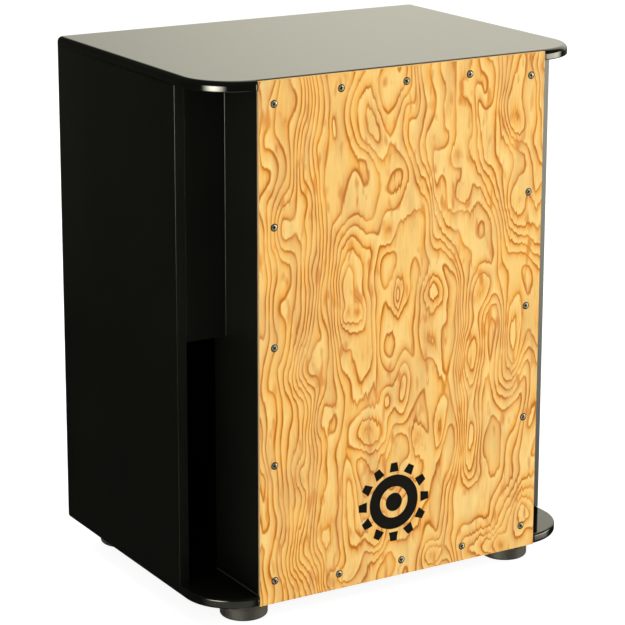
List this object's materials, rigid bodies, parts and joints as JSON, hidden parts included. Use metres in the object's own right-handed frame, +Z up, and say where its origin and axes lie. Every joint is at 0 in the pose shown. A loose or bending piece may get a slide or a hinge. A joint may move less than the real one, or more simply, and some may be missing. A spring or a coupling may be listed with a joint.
{
  "type": "cajon",
  "caption": "Bass cajon: black lacquered box drum with a burl-veneered front plate, forward-facing side ports, internal snares and rubber feet.",
  "frame": {"origin": "on the ground under the middle of the bounding box", "axes": "+Z up, the struck front plate faces -Y, +X to the right of someone facing the front plate"},
  "size_m": [0.4, 0.2996, 0.5003],
  "materials": {
    "black_lacquer": "glossy black lacquer on fibreboard",
    "burl_veneer": "figured veneer on plywood, clear satin lacquer",
    "pine": "planed, bare",
    "zinc_steel": "bright zinc plated",
    "snare_steel": "bright drawn wire",
    "rubber": "matt moulded rubber"
  },
  "bodies": {
    "root": {"top_plate": "black_lacquer", "bottom_plate": "black_lacquer", "left_outer_side": "black_lacquer", "right_outer_side": "black_lacquer", "left_inner_side": "black_lacquer", "right_inner_side": "black_lacquer", "left_baffle": "black_lacquer", "right_baffle": "black_lacquer", "back_panel": "black_lacquer", "front_plate": "burl_veneer", "front_cleat_left": "pine", "front_cleat_right": "pine", "front_cleat_top": "pine", "front_cleat_bottom": "pine", "rear_cleat_left": "black_lacquer", "rear_cleat_right": "black_lacquer", "rear_cleat_top": "black_lacquer", "rear_cleat_bottom": "black_lacquer", "snare_bar": "pine", "front_screw_left_1": "zinc_steel", "front_screw_left_2": "zinc_steel", "front_screw_left_3": "zinc_steel", "front_screw_left_4": "zinc_steel", "front_screw_left_5": "zinc_steel", "front_screw_right_1": "zinc_steel", "front_screw_right_2": "zinc_steel", "front_screw_right_3": "zinc_steel", "front_screw_right_4": "zinc_steel", "front_screw_right_5": "zinc_steel", "front_screw_top_1": "zinc_steel", "front_screw_top_2": "zinc_steel", "front_screw_top_3": "zinc_steel", "front_screw_bottom_1": "zinc_steel", "front_screw_bottom_2": "zinc_steel", "front_screw_bottom_3": "zinc_steel", "snare_comb_left": "snare_steel", "snare_comb_right": "snare_steel", "snare_screw_left_1": "zinc_steel", "snare_screw_left_2": "zinc_steel", "snare_screw_right_1": "zinc_steel", "snare_screw_right_2": "zinc_steel", "foot_front_left": "rubber", "foot_front_right": "rubber", "foot_rear_left": "rubber", "foot_rear_right": "rubber", "foot_washer_front_left": "zinc_steel", "foot_washer_front_right": "zinc_steel", "foot_washer_rear_left": "zinc_steel", "foot_washer_rear_right": "zinc_steel", "foot_screw_front_left": "zinc_steel", "foot_screw_front_right": "zinc_steel", "foot_screw_rear_left": "zinc_steel", "foot_screw_rear_right": "zinc_steel"}
  },
  "joints": []
}
